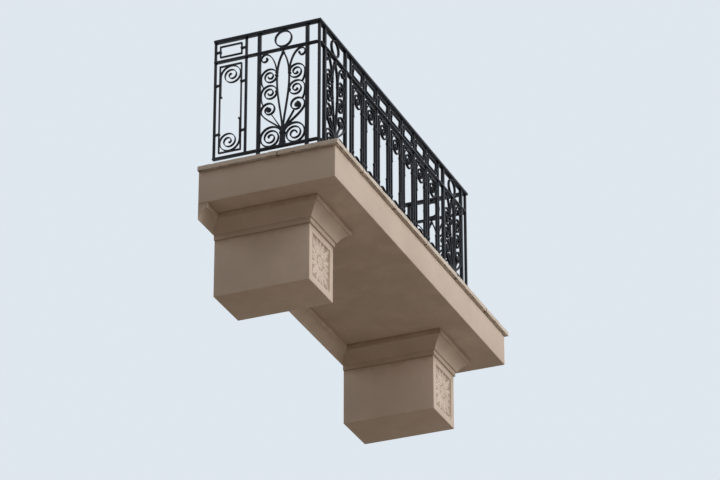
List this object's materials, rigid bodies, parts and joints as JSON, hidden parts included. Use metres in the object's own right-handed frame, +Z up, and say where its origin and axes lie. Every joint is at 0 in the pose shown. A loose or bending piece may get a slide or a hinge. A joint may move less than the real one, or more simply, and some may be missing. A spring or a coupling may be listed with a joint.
{
  "type": "wrought iron balcony",
  "caption": "Wall balcony: a stone-paved slab on carved corbels under moulded crowns, with a black wrought iron railing of scroll bays and lyre panels around its front and sides.",
  "frame": {"origin": "on the wall plane, at the middle of the slab's back face", "axes": "+X along the wall to the right as seen from the street, +Y into the wall, +Z up"},
  "size_m": [2.744, 0.879, 1.671],
  "materials": {
    "stucco": "painted smooth render, matt",
    "carved_stone": "carved and painted stone, matt",
    "paving_stone": "honed limestone, weathered",
    "wrought_iron": "black paint, satin, weathered"
  },
  "bodies": {
    "root": {"slab": "stucco", "front_paving": "paving_stone", "rear_paving": "paving_stone", "left_corbel": "stucco", "right_corbel": "stucco", "left_crown": "stucco", "right_crown": "stucco", "left_carved_panel": "carved_stone", "right_carved_panel": "carved_stone", "left_cornice": "stucco", "middle_cornice": "stucco", "right_cornice": "stucco", "left_corner_post": "wrought_iron", "right_corner_post": "wrought_iron", "front_handrail": "wrought_iron", "left_handrail": "wrought_iron", "right_handrail": "wrought_iron", "front_middle_rail": "wrought_iron", "left_middle_rail": "wrought_iron", "right_middle_rail": "wrought_iron", "front_bottom_rail": "wrought_iron", "left_bottom_rail": "wrought_iron", "right_bottom_rail": "wrought_iron", "front_bars": "wrought_iron", "left_bars": "wrought_iron", "right_bars": "wrought_iron", "front_left_lyre": "wrought_iron", "front_right_lyre": "wrought_iron", "left_lyre": "wrought_iron", "right_lyre": "wrought_iron", "left_wall_bay": "wrought_iron", "right_wall_bay": "wrought_iron", "front_bay_1": "wrought_iron", "front_bay_2": "wrought_iron", "front_bay_3": "wrought_iron", "front_bay_4": "wrought_iron", "front_bay_5": "wrought_iron", "front_bay_6": "wrought_iron", "front_bay_7": "wrought_iron"}
  },
  "joints": []
}
